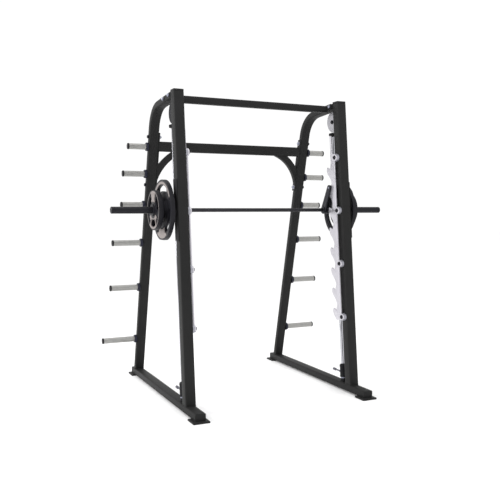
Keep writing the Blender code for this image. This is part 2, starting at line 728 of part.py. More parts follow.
clear_scene()
PART = new_collection("smith_machine", False)
CUTTERS = new_collection("cutters", True)
STEEL = new_material("charcoal_powder_coat", (0.035, 0.035, 0.036), 0.55, 0.0)
CAP_PLASTIC = new_material("cap_plastic", (0.030, 0.030, 0.031), 0.5, 0.0)
CHROME = new_material("chrome", (0.75, 0.75, 0.76), 0.12, 1.0)
BLACK_PLASTIC = new_material("black_plastic", (0.015, 0.015, 0.016), 0.45, 0.0)
BRIGHT = new_material("satin_zinc", (0.40, 0.40, 0.42), 0.35, 0.9)
POLISHED = new_material("polished_steel", (0.78, 0.77, 0.80), 0.15, 0.9)
GALVANISED = new_material("galvanised_pipe", (0.45, 0.44, 0.42), 0.40, 0.8)
RUBBER = new_material("bumper_rubber", (0.012, 0.012, 0.012), 0.8, 0.0)
LATCH_METAL = new_material("latch_black_oxide", (0.05, 0.05, 0.055), 0.4, 0.7)
BLACK_METAL = new_material("black_enamel", (0.02, 0.02, 0.022), 0.4, 0.2)
GUNMETAL = new_material("bar_gunmetal", (0.06, 0.06, 0.062), 0.35, 0.8)
SLEEVE_METAL = new_material("sleeve_black_oxide", (0.04, 0.04, 0.05), 0.3, 0.8)
PLATE_IRON = new_material("plate_rubber_and_face", (0.05, 0.047, 0.048), 0.5, 0.1)
GUARD_PAD = new_material("guard_pad", (0.012, 0.012, 0.012), 0.6, 0.0)

top_crossbeam("top_crossbeam")
rear_crossbeam("rear_crossbeam")
bar_shaft("bar_shaft")
for label, side in (("left", -1), ("right", 1)):
    side_pieces(label, side)
joint_empties()
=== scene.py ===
import math

import bmesh
import bpy
from mathutils import Matrix, Vector


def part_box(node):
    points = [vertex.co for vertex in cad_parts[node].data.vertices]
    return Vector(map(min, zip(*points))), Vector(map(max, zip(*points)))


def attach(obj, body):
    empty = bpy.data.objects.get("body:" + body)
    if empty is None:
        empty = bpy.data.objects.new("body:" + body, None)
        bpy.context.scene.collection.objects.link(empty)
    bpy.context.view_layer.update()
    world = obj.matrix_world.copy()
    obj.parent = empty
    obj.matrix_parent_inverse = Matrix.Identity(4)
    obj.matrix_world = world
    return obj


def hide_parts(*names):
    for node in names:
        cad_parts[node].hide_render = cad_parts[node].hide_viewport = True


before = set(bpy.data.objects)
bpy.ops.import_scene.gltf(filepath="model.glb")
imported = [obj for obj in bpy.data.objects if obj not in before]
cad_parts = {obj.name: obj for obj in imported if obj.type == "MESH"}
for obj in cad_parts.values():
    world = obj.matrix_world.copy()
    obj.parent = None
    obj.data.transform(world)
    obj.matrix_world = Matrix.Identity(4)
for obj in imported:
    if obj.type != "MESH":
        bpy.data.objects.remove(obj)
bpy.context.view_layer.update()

X, Y, Z = range(3)
SIDES = (("left", -1), ("right", 1))

# The front posts and the guide rods lean back, and the rear posts forward, each by a slope over the height
FRONT_FOOT_Y, FRONT_SLOPE = -0.579, 0.0973
REAR_FOOT_Y, REAR_SLOPE = 0.6745, -0.2438
FRONT_LEAN = Vector((0, FRONT_SLOPE, 1)).normalized()

POST_X = 0.648              # the middle of the posts, on both sides
TUBE_INSIDE = 0.074         # from a rear post's outer face to the crossbeam's flange
FLANGE_T = 0.0083           # a flange with its gap
ROD_OFFSET = 0.149          # the rods' middle behind the front posts' front face
BAR_TO_ROD = 0.059          # the rods' middle before the bar's
HOUSING_HALF = 0.070        # half the height of a carriage's bush housing
PIN_OFFSET = 0.1105         # the latch pins' middle behind the front posts' front face
PIN_Z = 1.5351              # and its height above the floor

SHAFT_R = 0.0138
MARK_AT, MARK_R = 0.398, 0.0132             # ring marks sunk into the shaft on both sides of its middle
KNURL_FROM, KNURL_TO, KNURL_PITCH = 0.150, 0.520, 0.0016


def front_y(z, offset):
    """The y of what stands this far behind the front posts' front face, at a height."""
    return FRONT_FOOT_Y + FRONT_SLOPE * z + offset


def rear_y(z):
    """The y of the rear posts' middle, at a height."""
    return REAR_FOOT_Y + REAR_SLOPE * z


def inner_outer(low, high, side):
    """The x of a box's face towards the middle of the machine, and that of its outer face."""
    return (low.x, high.x) if side > 0 else (high.x, low.x)


# ---------------------------------------------------------------- materials


def tone(red, green, blue):
    """A colour given as screen values from 0 to 255."""
    def linear(c):
        c /= 255
        return c / 12.92 if c < 0.04045 else ((c + 0.055) / 1.055) ** 2.4
    return (linear(red), linear(green), linear(blue), 1)


class Value:
    """A number that runs through a material, on which arithmetic adds Math nodes."""

    def __init__(self, finish, socket):
        self.finish = finish
        self.socket = socket

    def math(self, operation, *others):
        inputs = dict(enumerate((self, *others)))
        node = self.finish.node("ShaderNodeMath", {"operation": operation}, inputs)
        return Value(self.finish, node.outputs[0])

    def __add__(self, other):
        return self.math("ADD", other)

    def __radd__(self, other):
        return self.math("ADD", other)

    def __sub__(self, other):
        return self.math("SUBTRACT", other)

    def __rsub__(self, other):
        return (self * -1) + other

    def __mul__(self, other):
        return self.math("MULTIPLY", other)

    def __rmul__(self, other):
        return self.math("MULTIPLY", other)

    def clamped(self):
        return self.math("MAXIMUM", 0).math("MINIMUM", 1)

    def step(self, low, high):
        """0 below low, 1 above high, and smooth between them."""
        settings = {"interpolation_type": "SMOOTHSTEP"}
        node = self.finish.node("ShaderNodeMapRange", settings, {0: self, 1: low, 2: high})
        return Value(self.finish, node.outputs[0])


class Finish:
    """A material under construction."""

    def __init__(self, name, metallic=0.0, specular=0.5):
        self.material = bpy.data.materials.new(name)
        self.material.use_nodes = True
        self.tree = self.material.node_tree
        self.shader = self.tree.nodes["Principled BSDF"]
        self.set("Metallic", metallic)
        self.set("Specular IOR Level", specular)
        self.place = self.node("ShaderNodeTexCoord").outputs["Object"]

    def node(self, kind, settings=None, inputs=None):
        """A node, with its settings made first and then its sockets filled or linked."""
        node = self.tree.nodes.new(kind)
        for key, value in (settings or {}).items():
            setattr(node, key, value)
        for key, value in (inputs or {}).items():
            self.fill(node.inputs[key], value)
        return node

    def fill(self, socket, value):
        if isinstance(value, Value):
            value = value.socket
        if isinstance(value, bpy.types.NodeSocket):
            self.tree.links.new(value, socket)
        else:
            socket.default_value = value

    def set(self, key, value):
        self.fill(self.shader.inputs[key], value)

    def stretched(self, scale):
        """Place on the piece, stretched along each axis."""
        return self.node("ShaderNodeMapping", None, {"Vector": self.place, "Scale": scale}).outputs[0]

    def noise(self, size, detail=3, scale=(1, 1, 1)):
        """Soft noise with features of about this size in metres."""
        inputs = {"Vector": self.stretched(scale), "Scale": 1 / size, "Detail": detail, "Roughness": 0.5}
        return Value(self, self.node("ShaderNodeTexNoise", None, inputs).outputs["Fac"])

    def cells(self, size):
        """Distance to the middle of the nearest of many small cells."""
        inputs = {"Vector": self.place, "Scale": 1 / size}
        return Value(self, self.node("ShaderNodeTexVoronoi", None, inputs).outputs["Distance"])

    def axis(self, index):
        node = self.node("ShaderNodeSeparateXYZ", None, {0: self.place})
        return Value(self, node.outputs[index])

    def mix(self, amount, first, second):
        settings = {"data_type": "RGBA"}
        inputs = {0: amount, 6: first, 7: second}
        return self.node("ShaderNodeMix", settings, inputs).outputs[2]

    def bump(self, height, distance):
        inputs = {"Height": height, "Distance": distance, "Strength": 1.0}
        self.set("Normal", self.node("ShaderNodeBump", None, inputs).outputs[0])


def powder_coat(name, dark, light, grain=0.0011):
    """Matte powder coat: fine orange peel, a faint cloudiness and a light dusting of specks."""
    f = Finish(name, specular=0.14)
    cloud = f.noise(0.11, 4)
    speck = f.noise(0.0016, 2).step(0.56, 0.74)
    f.set("Base Color", f.mix((cloud * 0.75 + speck * 0.35).clamped(), dark, light))
    f.set("Roughness", 0.50 + f.noise(0.03, 3) * 0.12)
    peel = f.noise(grain, 2) + f.noise(grain * 4, 2) * 0.8
    f.bump(peel, 0.00028)
    return f.material


def moulded_plastic(name, dark, light, roughness, grain=0.0008):
    """Moulded plastic or rubber with a fine leathery grain."""
    f = Finish(name, specular=0.16)
    f.set("Base Color", f.mix(f.noise(0.02, 4), dark, light))
    f.set("Roughness", roughness + f.noise(0.012, 3) * 0.16)
    f.bump(f.cells(grain) + f.noise(0.004, 2), 0.00020)
    return f.material


def drawn_metal(name, dark, light, roughness, along, metallic, streak=0.0007, mottle=0.03):
    """Metal with long drawing lines along one axis and a faint mottle."""
    f = Finish(name)
    scale = [1.0, 1.0, 1.0]
    scale[along] = 0.02
    lines = f.noise(streak, 3, scale)
    spots = f.noise(mottle, 4)
    f.set("Base Color", f.mix((lines * 0.55 + spots * 0.55).clamped(), dark, light))
    f.set("Metallic", metallic)
    f.set("Roughness", roughness + lines * 0.14 + spots.step(0.45, 0.8) * 0.10)
    f.bump(lines, 0.00005)
    return f.material


def polished_plate(name):
    """Bright ground steel plate: fine vertical grinding marks and faint smudges."""
    f = Finish(name)
    lines = f.noise(0.0009, 3, (1, 1, 0.03))
    smudge = f.noise(0.05, 4)
    amount = (lines * 0.4 + smudge * 0.6).clamped()
    f.set("Base Color", f.mix(amount, tone(184, 182, 189), tone(214, 212, 218)))
    f.set("Metallic", 0.7)
    f.set("Roughness", 0.24 + smudge.step(0.4, 0.75) * 0.14 + lines * 0.08)
    f.bump(lines, 0.00001)
    return f.material


def chromed(name):
    """Hard chrome: nearly clean, with the faintest polishing lines and dulled patches."""
    f = Finish(name, metallic=1.0)
    haze = f.noise(0.06, 4)
    lines = f.noise(0.0010, 2, (1, 1, 0.05))
    f.set("Base Color", f.mix(haze, tone(168, 168, 175), tone(206, 206, 212)))
    f.set("Roughness", 0.07 + haze.step(0.45, 0.8) * 0.07 + lines * 0.04)
    f.bump(lines, 0.00001)
    return f.material


def black_oxide(name, dark, light, roughness):
    """Blackened steel with handling marks: cloudy, a little brighter where it is rubbed."""
    f = Finish(name)
    cloud = f.noise(0.018, 4)
    rubbed = f.noise(0.004, 3).step(0.55, 0.75)
    f.set("Base Color", f.mix((cloud * 0.7 + rubbed * 0.4).clamped(), dark, light))
    f.set("Metallic", 0.75)
    f.set("Roughness", roughness + cloud * 0.16 - rubbed * 0.06)
    f.bump(f.noise(0.0012, 3), 0.00006)
    return f.material


def bar_steel(name):
    """Dark bar steel with diamond knurling in the grip zones."""
    f = Finish(name)
    along = f.axis(X)
    reach = along.math("ABSOLUTE")
    clear_of_mark = (reach - MARK_AT).math("ABSOLUTE").step(0.004, 0.006)
    begun, ended = reach.step(KNURL_FROM, KNURL_FROM + 0.002), reach.step(KNURL_TO, KNURL_TO + 0.002)
    zone = begun * (1 - ended) * clear_of_mark
    turn = (f.axis(Z) - BAR_AT.z).math("ARCTAN2", f.axis(Y) - BAR_AT.y) * SHAFT_R
    waves = 2 * math.pi / KNURL_PITCH
    first = ((along + turn) * waves).math("SINE")
    second = ((along - turn) * waves).math("SINE")
    knurl = first.math("MULTIPLY", second).math("ABSOLUTE")
    cloud = f.noise(0.05, 4)
    amount = (cloud * 0.6 + knurl * zone * 0.4).clamped()
    f.set("Base Color", f.mix(amount, tone(34, 34, 37), tone(62, 61, 65)))
    f.set("Metallic", 0.8)
    f.set("Roughness", 0.30 + cloud * 0.12 + zone * 0.14)
    f.bump(knurl * zone + f.noise(0.002, 2) * 0.05, 0.00035)
    return f.material


def coated_iron(name):
    """Black urethane over iron: dense, slightly glossy, with soft flow marks and dust."""
    f = Finish(name, specular=0.20)
    flow = f.noise(0.035, 4)
    dust = f.noise(0.006, 4).step(0.55, 0.8)
    f.set("Base Color", f.mix((flow * 0.5 + dust * 0.5).clamped(), tone(17, 17, 22), tone(33, 33, 39)))
    f.set("Roughness", 0.34 + flow * 0.18 + dust * 0.10)
    f.bump(f.noise(0.0018, 3) + flow, 0.00030)
    return f.material


def face_paint(name):
    """Warm grey paint on the plates' raised faces: satin, speckled, with worn patches."""
    f = Finish(name, specular=0.25)
    cloud = f.noise(0.03, 4)
    speck = f.noise(0.0013, 2).step(0.54, 0.72)
    worn = f.noise(0.012, 5).step(0.60, 0.72)
    base = f.mix((cloud * 0.7 + speck * 0.35).clamped(), tone(122, 115, 113), tone(146, 139, 136))
    f.set("Base Color", f.mix(worn * 0.35, base, tone(92, 87, 87)))
    f.set("Metallic", 0.15)
    f.set("Roughness", 0.42 + cloud * 0.14)
    f.bump(f.noise(0.0015, 3), 0.00022)
    return f.material


def floor_paint(name):
    """Pale studio floor with a very faint unevenness."""
    f = Finish(name, specular=0.2)
    f.set("Base Color", f.mix(f.noise(0.9, 3), tone(254, 254, 254), tone(255, 255, 255)))
    f.set("Roughness", 0.75 + f.noise(0.4, 3) * 0.1)
    f.bump(f.noise(0.02, 2), 0.0001)
    return f.material


# ---------------------------------------------------------------- modelling


def only(obj):
    """Leaves this object alone selected and active."""
    if bpy.context.mode != "OBJECT":
        bpy.ops.object.mode_set(mode="OBJECT")
    bpy.ops.object.select_all(action="DESELECT")
    obj.select_set(True)
    bpy.context.view_layer.objects.active = obj


def deselect():
    bpy.ops.object.select_all(action="DESELECT")


def pick_edges(obj, test):
    """In edit mode, selects the edges whose middle and direction pass a test."""
    bpy.ops.mesh.select_mode(type="EDGE")
    bpy.ops.mesh.select_all(action="DESELECT")
    bm = bmesh.from_edit_mesh(obj.data)
    for edge in bm.edges:
        start, end = (v.co for v in edge.verts)
        edge.select_set(test((start + end) / 2, (end - start).normalized()))
    bmesh.update_edit_mesh(obj.data)


def settle(obj):
    """Puts the object's place into its mesh."""
    only(obj)
    bpy.ops.object.transform_apply(location=True, rotation=True, scale=True)
    return obj


def tidy_normals(obj, merge=0.00001):
    """Merges points that coincide and turns every face outwards."""
    only(obj)
    bpy.ops.object.mode_set(mode="EDIT")
    bpy.ops.mesh.select_all(action="SELECT")
    bpy.ops.mesh.remove_doubles(threshold=merge)
    bpy.ops.mesh.normals_make_consistent(inside=False)
    bpy.ops.object.mode_set(mode="OBJECT")


def smooth(obj, degrees=35):
    only(obj)
    bpy.ops.object.shade_smooth_by_angle(angle=math.radians(degrees))


def modify(obj, kind, **settings):
    """Adds a modifier and applies it."""
    only(obj)
    step = obj.modifiers.new(kind.lower(), kind)
    for key, value in settings.items():
        setattr(step, key, value)
    bpy.ops.object.modifier_apply(modifier=step.name)


def soften(obj, width, segments=2, degrees=40):
    """Rounds the edges that are sharper than an angle."""
    modify(obj, "BEVEL", width=width, segments=segments, limit_method="ANGLE",
           angle_limit=math.radians(degrees))


def cut(obj, cutter, operation="DIFFERENCE"):
    """Takes a cutter's shape out of a piece, or joins it to the piece, and removes the cutter."""
    modify(obj, "BOOLEAN", object=cutter, operation=operation, solver="EXACT")
    bpy.data.objects.remove(cutter)


def turned(name, profile, sides=40):
    """A round piece that stands along Z, extruded ring by ring through (height, radius) pairs."""
    deselect()
    height, radius = profile[0]
    bpy.ops.mesh.primitive_circle_add(
        vertices=sides, radius=radius, fill_type="NGON", location=(0, 0, height))
    obj = bpy.context.active_object
    obj.name = name
    bpy.ops.object.mode_set(mode="EDIT")
    bpy.ops.mesh.select_all(action="SELECT")
    for next_height, next_radius in profile[1:]:
        rise = (0, 0, next_height - height)
        bpy.ops.mesh.extrude_region_move(TRANSFORM_OT_translate={"value": rise})
        if next_radius != radius:
            k = next_radius / radius
            bpy.ops.transform.resize(value=(k, k, 1), center_override=(0, 0, next_height))
        height, radius = next_height, next_radius
    bpy.ops.object.mode_set(mode="OBJECT")
    settle(obj)
    tidy_normals(obj, merge=0.000001)
    smooth(obj)
    return obj


def stand(obj, base, way, turn=0.0):
    """Moves a piece made along Z so that it starts at a point and runs the given way."""
    lean = Vector(way).to_track_quat("Z", "Y").to_matrix().to_4x4()
    obj.data.transform(Matrix.Translation(base) @ lean @ Matrix.Rotation(turn, 4, "Z"))
    return obj


def twin(obj, name):
    """A copy with a mesh of its own."""
    copy = bpy.data.objects.new(name, obj.data.copy())
    bpy.context.scene.collection.objects.link(copy)
    return copy


def give(obj, body, material, slot, *nodes):
    """Finishes a piece: its material, the body it rides on and the CAD nodes it stands for. The slot is not
    used.
    """
    obj.data.materials.clear()
    obj.data.materials.append(material)
    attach(obj, body)
    if nodes:
        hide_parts(*nodes)
    return obj


def refined(node, body, material, slot, width=0.0008, segments=2, degrees=40):
    """Stands in for a CAD node with the same shape, its edges softened and its round faces smooth."""
    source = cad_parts[node]
    obj = twin(source, node + "_skin")
    only(obj)
    bpy.ops.object.mode_set(mode="EDIT")
    bpy.ops.mesh.select_all(action="SELECT")
    bpy.ops.mesh.remove_doubles(threshold=0.00002)
    bpy.ops.mesh.dissolve_limited(angle_limit=math.radians(0.5))
    bpy.ops.object.mode_set(mode="OBJECT")
    soften(obj, width, segments, degrees)
    smooth(obj, 38)
    return give(obj, body, material, slot, node)


def middle(node):
    low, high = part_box(node)
    return (low + high) / 2


BAR_AT = middle("bar_shaft")


# ---------------------------------------------------------------- finishes

FRAME_COAT = powder_coat("charcoal_powder_coat", tone(29, 29, 29), tone(39, 39, 39))
CAP_COAT = moulded_plastic("post_cap_plastic", tone(28, 28, 29), tone(38, 38, 38), 0.45)
ROD_CHROME = chromed("guide_rod_chrome")
FOOT_PLASTIC = moulded_plastic("rod_foot_plastic", tone(14, 14, 16), tone(28, 28, 30), 0.42)
BUFFER_RUBBER = moulded_plastic("buffer_rubber", tone(10, 10, 11), tone(22, 22, 24), 0.62, 0.0012)
ZINC = drawn_metal("satin_zinc", tone(138, 138, 147), tone(172, 172, 180), 0.34, X, 0.6)
BRACKET_ZINC = drawn_metal("bracket_zinc", tone(148, 147, 152), tone(180, 179, 184), 0.36, Z, 0.6)
CATCH_STEEL = polished_plate("polished_catch_steel")
HORN_ZINC = drawn_metal("galvanised_horn_pipe", tone(126, 126, 124), tone(180, 179, 176), 0.32, X, 0.75,
                        streak=0.0016, mottle=0.02)
COLLAR_BLACK = black_oxide("horn_collar_black", tone(30, 31, 42), tone(50, 51, 64), 0.34)
LATCH_BLACK = black_oxide("latch_black_oxide", tone(34, 34, 39), tone(58, 58, 64), 0.36)
SLIDE_BLACK = powder_coat("carriage_enamel", tone(16, 16, 19), tone(30, 30, 34), 0.0009)
BAR_STEEL = bar_steel("bar_gunmetal")
SLEEVE_BLACK = drawn_metal("sleeve_black_oxide", tone(24, 24, 27), tone(43, 43, 48), 0.26, X, 0.8,
                           streak=0.0010, mottle=0.04)
IRON = coated_iron("plate_coated_iron")
PAINT = face_paint("plate_face_paint")
# Near-black plastic for the strip on the outer face of each front post, level with the plates
DARK_STRIP = moulded_plastic("dark_strip_plastic", tone(14, 14, 15), tone(24, 24, 25), 0.55, 0.0015)
PULL_STEEL = drawn_metal("pull_pin_steel", tone(66, 66, 74), tone(120, 120, 130), 0.28, Y, 0.85, 0.0008)
SCREW_BLACK = black_oxide("screw_black", tone(20, 20, 24), tone(44, 44, 52), 0.30)
SCREW_BRIGHT = drawn_metal("screw_bright_zinc", tone(112, 116, 132), tone(168, 170, 184), 0.24, Y, 0.85,
                           streak=0.0008)

# Slots that several pieces share
COAT = "charcoal_powder_coat"
OXIDE = "latch_black_oxide"
SATIN = "satin_zinc"
ENAMEL = "black_enamel"
PLASTIC = "black_plastic"
RUBBER = "bumper_rubber"


# ---------------------------------------------------------------- frame

for beam in ("top_crossbeam", "rear_crossbeam"):
    refined(beam, "frame", FRAME_COAT, COAT)
for label, _ in SIDES:
    for beam, width in (("front_upright", 0.0007), ("rear_upright", 0.0007), ("base_runner", 0.0014),
                        ("knee_brace", 0.0007)):
        refined(f"{beam}_{label}", "frame", FRAME_COAT, COAT, width)
    refined(f"upright_cap_{label}", "frame", CAP_COAT, "cap_plastic", 0.003, 3)
    refined(f"wear_guard_{label}", "frame", DARK_STRIP, "guard_pad", 0.0010)
    refined(f"rod_bracket_{label}", "frame", BRACKET_ZINC, SATIN, 0.0016, 3)
    refined(f"catch_plate_{label}", "frame", CATCH_STEEL, "polished_steel", 0.0012, degrees=55)
    refined(f"carriage_{label}", "carriage", SLIDE_BLACK, ENAMEL, 0.0012)
    refined(f"latch_{label}", "bar", LATCH_BLACK, OXIDE, 0.0010)


def bead(name, at, width, depth):
    """A weld bead: a closed run round a tube where it meets another."""
    deselect()
    bpy.ops.mesh.primitive_plane_add(size=1, location=(0, 0, 0))
    obj = bpy.context.active_object
    obj.name = name
    bpy.ops.object.mode_set(mode="EDIT")
    bpy.ops.mesh.select_all(action="SELECT")
    bpy.ops.transform.resize(value=(width, depth, 1))
    bpy.ops.mesh.bevel(offset=0.012, segments=4, affect="VERTICES")
    bpy.ops.mesh.delete(type="ONLY_FACE")
    bpy.ops.object.mode_set(mode="OBJECT")
    bpy.ops.object.convert(target="CURVE")
    obj = bpy.context.active_object
    obj.data.bevel_depth = 0.0028
    obj.data.bevel_resolution = 2
    bpy.ops.object.convert(target="MESH")
    obj = bpy.context.active_object
    tidy_normals(obj)
    smooth(obj, 60)
    obj.data.transform(at)
    return give(obj, "frame", FRAME_COAT, COAT)


# ---------------------------------------------------------------- guide rods and their ends


def along_box(node, way):
    """Where a round piece that leans along a direction starts, and how long it is."""
    low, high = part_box(node)
    centre = (low + high) / 2
    length = (high.z - low.z) / way.z
    return centre - way * (length / 2), length


for label, _ in SIDES:
    node = f"guide_rod_{label}"
    start, length = along_box(node, FRONT_LEAN)
    rod = turned(f"rod_{label}", [
        (0, 0.0115), (0.002, 0.0125), (length - 0.004, 0.0125), (length - 0.002, 0.0115)], 48)
    give(stand(rod, start + FRONT_LEAN * 0.001, FRONT_LEAN), "frame", ROD_CHROME, "chrome", node)

    node = f"top_bumper_{label}"
    low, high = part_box(node)
    start, length = along_box(node, FRONT_LEAN)
    r = (high.x - low.x) / 2
    buffer = turned(f"rod_buffer_{label}", [
        (0.0020, r * 0.86), (0.0030, r * 0.96), (0.0045, r), (length - 0.0060, r),
        (length - 0.0040, r * 0.96), (length - 0.0030, r * 0.84)])
    give(stand(buffer, start, FRONT_LEAN), "frame", BUFFER_RUBBER, RUBBER, node)

    node = f"rod_foot_{label}"
    low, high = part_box(node)
    centre = (low + high) / 2
    tall = high.z - low.z
    r = (high.x - low.x) / 2
    foot = turned(f"rod_socket_{label}", [
        (0, r), (0.008, r), (0.011, r * 0.86), (tall - 0.008, r * 0.80), (tall - 0.002, r * 0.78),
        (tall, r * 0.70)])
    give(stand(foot, (centre.x, centre.y, low.z), (0, 0, 1)), "frame", FOOT_PLASTIC, PLASTIC, node)


# ---------------------------------------------------------------- fasteners, each made once


def hex_recess(obj, height, size, depth):
    """Sinks a hexagonal socket into the flat top of a screw head."""
    deselect()
    bpy.ops.mesh.primitive_cylinder_add(vertices=6, radius=size, depth=depth * 2, location=(0, 0, height))
    cut(obj, settle(bpy.context.active_object))
    smooth(obj)


SCREW_HEIGHT, WASHER_T = 0.0098, 0.0032
SOCKET_SCREW = turned("socket_screw", [
    (0, 0.0160), (0.0016, 0.0160), (0.0020, 0.0156), (0.0021, 0.0136), (0.0060, 0.0136), (0.0085, 0.0120),
    (SCREW_HEIGHT, 0.0086)], 28)
hex_recess(SOCKET_SCREW, SCREW_HEIGHT, 0.0055, 0.0050)

WASHER = turned("flat_washer", [(0, 0.0165), (0.0006, 0.0172), (0.0026, 0.0172), (WASHER_T, 0.0165)], 32)

HEX_HEAD = turned("hex_head", [
    (0, 0.0110), (0.0008, 0.0128), (0.0078, 0.0128), (0.0096, 0.0108), (0.0100, 0.0060)], 6)
soften(HEX_HEAD, 0.0005, 2, 20)

DOME_NUT = turned("dome_nut", [
    (0, 0.0112), (0.0008, 0.0118), (0.0060, 0.0118), (0.0066, 0.0098), (0.0100, 0.0092), (0.0130, 0.0072),
    (0.0146, 0.0040), (0.0150, 0.0012)], 24)

# What fasten takes after a place and a way: a head, its finish and slot, and the finish of a washer
SOCKET_KIT = (SOCKET_SCREW, SCREW_BLACK, OXIDE)
BOLT_KIT = (HEX_HEAD, SCREW_BLACK, OXIDE, SCREW_BLACK)
NUT_KIT = (DOME_NUT, SCREW_BRIGHT, SATIN, ZINC)
ARM_KIT = (DOME_NUT, SCREW_BRIGHT, SATIN, SCREW_BLACK)


def fasten(name, at, way, head, head_finish, slot, washer_finish=None):
    """Sets a head on a face of the frame, with a washer under it if it has one."""
    way = Vector(way)
    rest = 0.0
    if washer_finish:
        give(stand(twin(WASHER, name + "_washer"), at, way), "frame", washer_finish, slot)
        rest = WASHER_T
    give(stand(twin(head, name), Vector(at) + way * rest, way, 0.3), "frame", head_finish, slot)


def bracket_dark_plate(name, x, thickness, low, high):
    """A thin dark plate on a bracket's outer face, with the bracket's round end."""
    deselect()
    tall = high.z - low.z - 0.004
    centre = Vector((x + thickness / 2, high.y - tall / 2 - 0.003, (low.z + high.z) / 2))
    bpy.ops.mesh.primitive_cylinder_add(
        vertices=64, radius=tall / 2, depth=abs(thickness), location=centre,
        rotation=(0, math.pi / 2, 0))
    obj = bpy.context.active_object
    obj.name = name
    settle(obj)
    front = low.y + 0.018
    bpy.ops.mesh.primitive_cube_add(size=1, location=(centre.x, (front + centre.y) / 2, centre.z))
    block = bpy.context.active_object
    bpy.ops.object.mode_set(mode="EDIT")
    bpy.ops.mesh.select_all(action="SELECT")
    bpy.ops.transform.resize(value=(abs(thickness), centre.y - front, tall))
    bpy.ops.object.mode_set(mode="OBJECT")
    cut(obj, settle(block), "UNION")
    soften(obj, 0.0004)
    smooth(obj)
    return obj


FLANGE_BOLTS = (1.915, 1.559)                           # heights on the rear post
ARM_BOLTS = ((-0.270, 2.153), (-0.150, 2.144))          # y and z on the post's top arm

for label, side in SIDES:
    inner_x, _ = inner_outer(*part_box(f"catch_plate_{label}"), side)
    for i in range(1, 5):
        node = f"catch_standoff_{label}_{i}"
        spot = middle(node)
        fasten(f"catch_screw_{label}_{i}", (inner_x, spot.y, spot.z), (-side, 0, 0), *SOCKET_KIT)

        low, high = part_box(node)
        r, long = (high.z - low.z) / 2, high.x - low.x
        spacer = turned(f"spacer_{label}_{i}", [
            (0.0003, r - 0.0015), (0.0015, r), (long - 0.0015, r), (long - 0.0003, r - 0.0015)], 56)
        give(stand(spacer, (low.x, spot.y, spot.z), (1, 0, 0)), "frame", ZINC, SATIN, node)

    low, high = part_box(f"rod_bracket_{label}")
    tall = high.z - low.z
    hub_y, hub_z = high.y - tall / 2 + 0.005, (low.z + high.z) / 2
    _, outer_x = inner_outer(low, high, side)
    # A thin dark plate laid on each rod bracket's outer face, which makes that face dark
    dark_plate = bracket_dark_plate(f"bracket_dark_plate_{label}", outer_x, side * 0.0016, low, high)
    give(dark_plate, "frame", SLIDE_BLACK, ENAMEL)
    for face_x, way in ((low.x, -1), (high.x, 1)):
        name = f"bracket_screw_{label}_{'inner' if way == -side else 'outer'}"
        fasten(name, (face_x, hub_y, hub_z), (way, 0, 0), *SOCKET_KIT)

    _, outer_x = inner_outer(*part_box(f"rear_upright_{label}"), side)
    nut_x = outer_x - side * TUBE_INSIDE - side * FLANGE_T
    for i, z in enumerate(FLANGE_BOLTS):
        fasten(f"flange_bolt_{label}_{i}", (outer_x, rear_y(z), z), (side, 0, 0), *BOLT_KIT)
        fasten(f"flange_nut_{label}_{i}", (nut_x, rear_y(z), z), (-side, 0, 0), *NUT_KIT)
    for i, (y, z) in enumerate(ARM_BOLTS):
        fasten(f"arm_bolt_{label}_{i}", (outer_x, y, z), (side, 0, 0), *ARM_KIT)
        fasten(f"arm_nut_{label}_{i}", (nut_x, y, z), (-side, 0, 0), *ARM_KIT)


# ---------------------------------------------------------------- storage horns

HORN_R, CAP_REACH = 0.0220, 0.0118
CAP = turned("pipe_cap", [
    (0, 0.0219), (0.0006, 0.0231), (0.0085, 0.0231), (0.0105, 0.0222), (CAP_REACH, 0.0180),
    (0.0120, 0.0080)])
FOOT_RING = turned("pipe_foot_ring", [
    (0, 0.0305), (0.0012, 0.0322), (0.0150, 0.0322), (0.0185, 0.0300), (0.0200, 0.0255), (0.0202, 0.0225)])

for label, side in SIDES:
    way = (side, 0, 0)
    for i in range(1, 7):
        node = f"storage_horn_{label}_{i}"
        low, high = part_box(node)
        at, long = (low + high) / 2, high.x - low.x
        root, _ = inner_outer(low, high, side)
        tip = root + side * (long - CAP_REACH)
        pipe = turned(f"horn_pipe_{label}_{i}", [
            (0.004, HORN_R), (long - 0.006, HORN_R), (long - 0.005, HORN_R - 0.002)], 44)
        give(stand(pipe, (root, at.y, at.z), way), "frame", HORN_ZINC, "galvanised_pipe", node)
        cap, ring = twin(CAP, f"horn_cap_{label}_{i}"), twin(FOOT_RING, f"horn_foot_{label}_{i}")
        give(stand(cap, (tip, at.y, at.z), way), "frame", FOOT_PLASTIC, PLASTIC)
        give(stand(ring, (root, at.y, at.z), way), "frame", COLLAR_BLACK, OXIDE)


# ---------------------------------------------------------------- bar

low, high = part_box("bar_shaft")
long = high.x - low.x
marks = [(long / 2 + at + step, radius) for at in (-MARK_AT, MARK_AT)
         for step, radius in ((-0.0020, SHAFT_R), (-0.0015, MARK_R), (0.0015, MARK_R), (0.0020, SHAFT_R))]
shaft = turned("shaft", [
    (0.0002, 0.0130), (0.0010, SHAFT_R), *marks, (long - 0.0010, SHAFT_R), (long - 0.0002, 0.0130)], 48)
give(stand(shaft, (low.x, BAR_AT.y, BAR_AT.z), (1, 0, 0)), "bar", BAR_STEEL, "bar_gunmetal", "bar_shaft")

